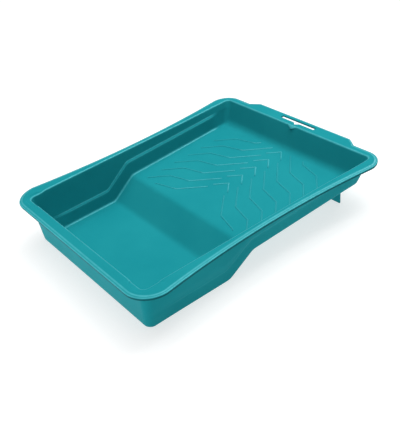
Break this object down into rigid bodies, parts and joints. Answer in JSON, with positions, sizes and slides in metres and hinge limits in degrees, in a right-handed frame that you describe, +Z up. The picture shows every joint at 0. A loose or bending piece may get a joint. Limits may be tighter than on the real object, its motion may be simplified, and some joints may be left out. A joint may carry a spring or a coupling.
{
  "type": "paint roller tray",
  "caption": "Moulded tray with a deep paint well, a steep slope and a long ribbed ramp for loading a roller, pour spouts at both well corners and a slotted hang tab.",
  "frame": {"origin": "on the ground, under the middle of the tray's outline", "axes": "+X from the paint well to the hang tab, +Y to the left side, +Z up"},
  "size_m": [0.3586, 0.2906, 0.06],
  "materials": {
    "tray_plastic": "satin turquoise polypropylene with moulded-in colour"
  },
  "bodies": {
    "root": {"far_rim_corner_left": "tray_plastic", "far_rim_corner_right": "tray_plastic", "far_wall": "tray_plastic", "front_corner_rim_left": "tray_plastic", "front_corner_rim_right": "tray_plastic", "front_rim": "tray_plastic", "front_wall": "tray_plastic", "hang_tab": "tray_plastic", "notch_lug": "tray_plastic", "pour_spout_left": "tray_plastic", "pour_spout_right": "tray_plastic", "ramp_floor": "tray_plastic", "ramp_ribs": "tray_plastic", "ramp_side_left": "tray_plastic", "ramp_side_right": "tray_plastic", "rear_foot_left": "tray_plastic", "rear_foot_right": "tray_plastic", "side_rim_left": "tray_plastic", "side_rim_right": "tray_plastic", "slope_side_left": "tray_plastic", "slope_side_right": "tray_plastic", "steep_slope": "tray_plastic", "well_floor": "tray_plastic", "well_side_left": "tray_plastic", "well_side_right": "tray_plastic"}
  },
  "joints": []
}
